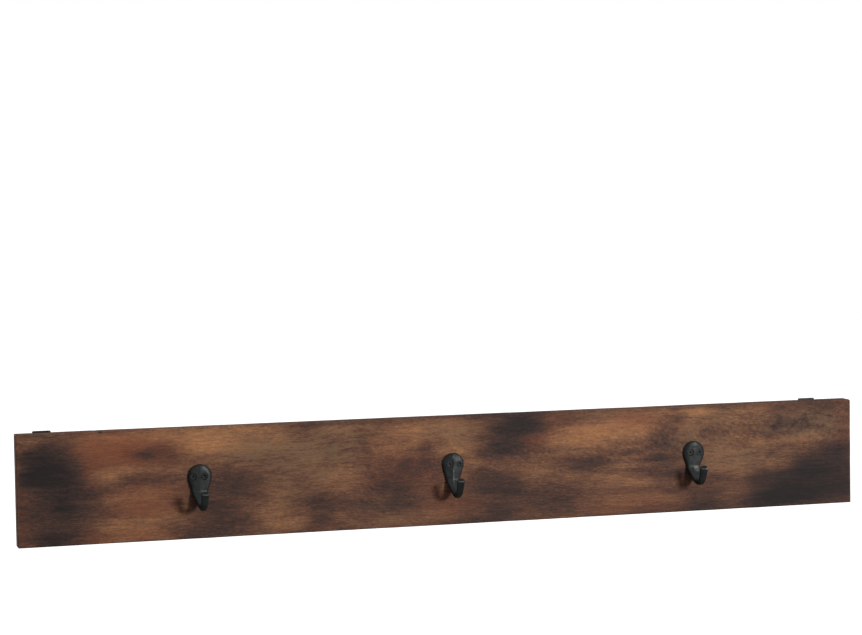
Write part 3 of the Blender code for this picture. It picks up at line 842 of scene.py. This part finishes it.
def makeHook(name, own, material, seed):
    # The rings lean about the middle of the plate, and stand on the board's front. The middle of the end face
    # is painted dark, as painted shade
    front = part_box("board")[0][1]
    rings, rubAndHighlight = hookSurface(own, seed)
    c, s = cos(own["lean"]), sin(own["lean"])
    x, y, z = rings[..., 0], rings[..., 1], rings[..., 2]
    placed = np.stack([own["x"] + x * c + z * s, front + y, hookShape["screwLine"] + z * c - x * s], -1)
    mesh = skinRings("hook " + name, placed)
    addField(mesh, "rubAndHighlight", np.append(rubAndHighlight.ravel(), [rubAndHighlight[0].mean(), 0]))
    # Painted shade: the end face's middle point gets 1, so the middle of the end face is painted dark
    endShade = np.zeros(len(mesh.vertices))
    endShade[-1] = 1
    addField(mesh, "endShade", endShade)
    sinks = [countersink(f"{name}_hook_screw_{side}", hookShape["sink"], 64) for side in ("left", "right")]
    mesh = carve(mesh, [joined("countersinks", sinks)], radians(38))
    addPiece("forgedHook_" + name, mesh, material, "hook_" + name)


screwShape = {
    "head": 3.5 * mm,
    "shank": 1.45 * mm,
    "thread": 0.42 * mm,
    "pitch": 1.35 * mm,
    "headDepth": 2.0 * mm,
    "rim": 0.25 * mm,
    "length": 16 * mm,
    "point": 3.6 * mm,
    "crossLength": 4.0 * mm,
    "crossWidth": 0.95 * mm,
    "crossDepth": 1.5 * mm,
    "around": 80,
    "rubAndHighlight": 0.15,
    "rubAndHighlightMiddle": 0.5,  # the middle hook's screws get a stronger painted highlight at their rims
}


def outwardSide(node):
    # The hanging plates' screws face the wall, and the hooks' screws face the room
    return 1 if "hanger" in node else -1


def countersink(node, profile, around):
    # The hole that a screw's head lies in. Its profile is (radius, depth) in millimetres, from the head's top
    low, high, middle = cornersOf(node)
    outwards = outwardSide(node)
    top = high[1] if outwards > 0 else low[1]
    return turnedCutter("countersink", np.array(profile) * mm, (middle[0], top, middle[2]), outwards, around)


def screwSurface(turn):
    # Rings from the middle of the head outwards, over its rim, down the cone and along the shank to the tip.
    # A cross is sunk in the head, deepest at its middle. The thread's height is 1 - 3.4 |p - 1/2|, where p is
    # the fraction of depth / pitch - angle / turn
    shape = screwShape
    angles = np.linspace(0, tau, shape["around"], endpoint=False)
    topRadii = np.concatenate([np.linspace(0.03, 0.62, 34), np.linspace(0.66, 0.965, 8)]) * shape["head"]
    flatX = topRadii[:, None] * np.cos(angles + turn)
    flatZ = topRadii[:, None] * np.sin(angles + turn)
    short = np.minimum(np.abs(flatX), np.abs(flatZ))
    long = np.maximum(np.abs(flatX), np.abs(flatZ))
    outShare = long / (shape["crossLength"] / 2)
    reach = np.clip(1 - outShare, 0, 1)
    half = shape["crossWidth"] / 2 * (0.75 + 0.25 * np.clip(outShare, 0, 1))
    bowl = np.exp(-(topRadii / (0.95 * mm)) ** 4)[:, None] * 0.9
    sunk = smooth((half - short) / (0.16 * mm), -0.5, 0.5) * np.minimum(reach * 2.4, 1)
    bowl = bowl * smooth(topRadii, 1.4 * mm, 0.5 * mm)[:, None]
    depthTop = shape["crossDepth"] * np.maximum(sunk * (0.72 + 0.28 * reach), bowl)

    coneEnd = shape["headDepth"]
    body = np.linspace(coneEnd + 0.3 * mm, shape["length"], 96)
    profile = np.array([
        (0.99 * shape["head"], 0.03 * mm), (shape["head"], 0.1 * mm), (shape["head"], shape["rim"]),
        (0.985 * shape["head"], shape["rim"] + 0.06 * mm), (shape["shank"] * 1.12, coneEnd),
    ])
    radius = np.concatenate([topRadii, profile[:, 0], np.full(len(body), shape["shank"])])
    depth = np.concatenate([np.zeros(len(topRadii)), profile[:, 1], body])
    radius, depth = (np.repeat(line[:, None], len(angles), 1) for line in (radius, depth))
    depth[:len(topRadii)] = depthTop
    phase = (body[:, None] / shape["pitch"] - angles / tau) % 1
    crest = np.clip(1 - np.abs(phase - 0.5) * 3.4, 0, 1)
    taper = smooth(shape["length"] - body, 0, shape["point"])[:, None] * 0.94 + 0.06
    start = smooth(body, coneEnd + 1.5 * mm, coneEnd + 3.5 * mm)[:, None]
    radius[-len(body):] = (shape["shank"] * (1 - 0.1 * start) + shape["thread"] * crest * start) * taper
    return radius * np.cos(angles), depth, radius * np.sin(angles)


def makeScrew(node, material, turn):
    low, high, middle = cornersOf(node)
    outwards = outwardSide(node)
    top = high[1] if outwards > 0 else low[1]
    x, depth, z = screwSurface(turn)
    mesh = skinRings(node, np.stack([middle[0] + x, top - outwards * depth, middle[2] + z], -1))
    mesh.set_sharp_from_angle(angle=radians(48))
    # Painted highlight: a bright ring round the head's rim, stronger on the middle hook's screws
    far = np.hypot(x, z) / screwShape["head"]
    bright = screwShape["rubAndHighlightMiddle"] if "middle" in node else screwShape["rubAndHighlight"]
    rubAndHighlight = np.exp(-((far - 0.97) / 0.07) ** 2) * (depth < 0.4 * mm) * bright
    addField(mesh, "rubAndHighlight", np.append(rubAndHighlight.ravel(), [0, 0]))
    addPiece(node + "_threaded", mesh, material, node)


plateShape = {
    "corner": 1.5 * mm,
    "entryRadius": 4.6 * mm,
    "entryBelow": 5 * mm,
    "slotWidth": 4.8 * mm,
    "slotTop": 9 * mm,
    "pocketRadius": 6.2 * mm,
    "pocketDepth": 11 * mm,
    "edgeRound": 0.25 * mm,
    "sink": [(2.05, 6), (2.05, 2.1), (3.7, 0.3), (3.8, -0.3), (4.1, -2)],
}


def makePlate(side, material):
    # A slab with rounded edges: at r (1 - sin a) from either face, its outline steps in by r (1 - cos a)
    shape = plateShape
    node = "hanger_plate_" + side
    low, high, middle = cornersOf(node)
    rounding = shape["edgeRound"]
    rings = []
    steps = np.radians([0, 22, 45, 68, 90])
    levels = [(low[1], rounding * 4)]
    levels += [(low[1] + rounding * (1 - sin(a)), rounding * (1 - cos(a))) for a in steps[::-1]]
    levels += [(high[1] - rounding * (1 - sin(a)), rounding * (1 - cos(a))) for a in steps]
    levels.append((high[1], rounding * 4))
    for y, inset in levels:
        outline = roundedRectangle(low[0] + inset, high[0] - inset, low[2] + inset, high[2] - inset,
                                   shape["corner"])
        rings.append([(x, y, z) for x, z in outline])
    mesh = skinRings(node, np.array(rings))

    # The keyhole: a half circle at the slot's top, and most of a larger one, where the screw's head goes in
    half = shape["slotWidth"] / 2
    mouth = np.arcsin(half / shape["entryRadius"])
    outline = arc((middle[0], middle[2] + shape["slotTop"] - half), half, 0, pi, 16)
    outline += arc((middle[0], middle[2] - shape["entryBelow"]), shape["entryRadius"], pi / 2 + mouth,
                   tau + pi / 2 - mouth, 48)
    keyhole = prism("keyhole", outline, low[1] - 2 * mm, high[1] + 2 * mm)
    sinks = [countersink(f"{side}_hanger_screw_{end}", shape["sink"], 48) for end in ("top", "bottom")]
    mesh = carve(mesh, [joined("holes", [keyhole, *sinks])], radians(35))
    points = pointsOf(mesh)
    reach = np.minimum(np.minimum(points[:, 0] - low[0], high[0] - points[:, 0]),
                       np.minimum(points[:, 2] - low[2], high[2] - points[:, 2]))
    addField(mesh, "rubAndHighlight", 0.4 * np.exp(-(reach / (0.5 * mm)) ** 2))
    addPiece("keyholePlate_" + side, mesh, material, node)


view = {
    "place": (-0.7703, -2.7232, 0.3502),
    "yaw": radians(15.418),
    "pitch": radians(-3.458),
    "roll": radians(-0.878),
    "lens": 100.62,
}
# The floor's height and half length, its two greys and how much it shines by itself
ground = {"height": -4.0, "half": 60.0, "greys": (0.86, 0.9), "glow": 0.9}
# Each lamp's place, what it looks at, its size and power, and the strength of the light from below and above
light = {
    "key": ((1.55, -2.75, 0.75), (-3.5, 0, 0), 0.65, 86),
    "above": ((0.49, -1.47, 1.96), (0, 0, 0), 1.2, 6),
    "behind": ((-2.3, 2.4, 1.2), (0, 0, 0), 1.5, 45),
    "around": (0.14, 0.42),
}


def makeCamera():
    # It looks along (sin yaw cos pitch, cos yaw cos pitch, sin pitch), and is then rolled about that line
    yaw, pitch, roll = view["yaw"], view["pitch"], view["roll"]
    ahead = Vector((sin(yaw) * cos(pitch), cos(yaw) * cos(pitch), sin(pitch)))
    right = Vector((cos(yaw), -sin(yaw), 0))
    up = right.cross(ahead)
    rolledRight = cos(roll) * right + sin(roll) * up
    rolledUp = cos(roll) * up - sin(roll) * right
    data = bpy.data.cameras.new("camera")
    data.lens = view["lens"]
    data.sensor_width = 36
    data.clip_end = 200
    camera = bpy.data.objects.new("camera", data)
    bpy.context.scene.collection.objects.link(camera)
    turned = Matrix((rolledRight, rolledUp, -ahead)).transposed().to_4x4()
    camera.matrix_world = Matrix.Translation(view["place"]) @ turned
    bpy.context.scene.camera = camera


def addLamp(name, place, aim, size, watts):
    # A square soft light that looks from its place at its aim
    data = bpy.data.lights.new(name, "AREA")
    data.energy = watts
    data.size = size
    lamp = bpy.data.objects.new(name, data)
    bpy.context.scene.collection.objects.link(lamp)
    lamp.location = place
    lamp.rotation_euler = (Vector(place) - Vector(aim)).to_track_quat("Z", "Y").to_euler()


def makeFloor():
    half, height = ground["half"], ground["height"]
    corners = [(-half, -half, height), (half, -half, height), (half, half, height), (-half, half, height)]
    mesh = bpy.data.meshes.new("floor")
    mesh.from_pydata(corners, [], [(0, 1, 2, 3)])
    floor = bpy.data.objects.new("floor", mesh)
    bpy.context.scene.collection.objects.link(floor)
    tree = Tree("paleFloor")
    mottle = tree.noise(2, 2, 0.5)
    dark, pale = ((grey, grey, grey, 1) for grey in ground["greys"])
    tree.finish(tree.mix(mottle, dark, pale), 0.8, tree.bump(mottle, 0.02, 0.001), specular=0.1)
    tree.shader.inputs["Emission Color"].default_value = (1, 1, 1, 1)
    tree.shader.inputs["Emission Strength"].default_value = ground["glow"]
    mesh.materials.append(tree.material)
    floor.visible_diffuse = floor.visible_glossy = False


def makeLight():
    # The light all round is weak below and strong above, and what the camera itself sees of it is white
    world = bpy.data.worlds.new("studio")
    bpy.context.scene.world = world
    world.use_nodes = True
    nodes, links = world.node_tree.nodes, world.node_tree.links
    apart = nodes.new("ShaderNodeSeparateXYZ")
    links.new(nodes.new("ShaderNodeTexCoord").outputs["Generated"], apart.inputs[0])
    fall = nodes.new("ShaderNodeMapRange")
    fall.interpolation_type = "SMOOTHSTEP"
    links.new(apart.outputs["Z"], fall.inputs["Value"])
    for socket, value in zip(("From Min", "From Max", "To Min", "To Max"), (-0.6, 0.9, *light["around"])):
        fall.inputs[socket].default_value = value
    background = nodes["Background"]
    background.inputs["Color"].default_value = (0.97, 0.98, 1.0, 1)
    links.new(fall.outputs["Result"], background.inputs["Strength"])
    seen = nodes.new("ShaderNodeBackground")
    seen.inputs["Color"].default_value = (1, 1, 1, 1)
    path = nodes.new("ShaderNodeLightPath")
    either = nodes.new("ShaderNodeMixShader")
    links.new(path.outputs["Is Camera Ray"], either.inputs["Fac"])
    links.new(background.outputs[0], either.inputs[1])
    links.new(seen.outputs[0], either.inputs[2])
    links.new(either.outputs[0], nodes["World Output"].inputs["Surface"])

    for name in ("key", "above", "behind"):
        addLamp(name, *light[name])
    bpy.context.scene.view_settings.view_transform = "Standard"


makeCamera()
makeFloor()
makeLight()
print("camera, floor and light made")
wood, iron, steel = makeWood(), makeIron(), makeSteel()
makeBoard(wood)
for number, (name, own) in enumerate(hooks.items()):
    makeHook(name, own, iron, number * 11 + 4)
print("hooks made")
for number, node in enumerate(screwNodes):
    makeScrew(node, steel, number * 2.4)
print("screws made:", len(screwNodes))
for side in ("left", "right"):
    makePlate(side, steel)
print("plates made")
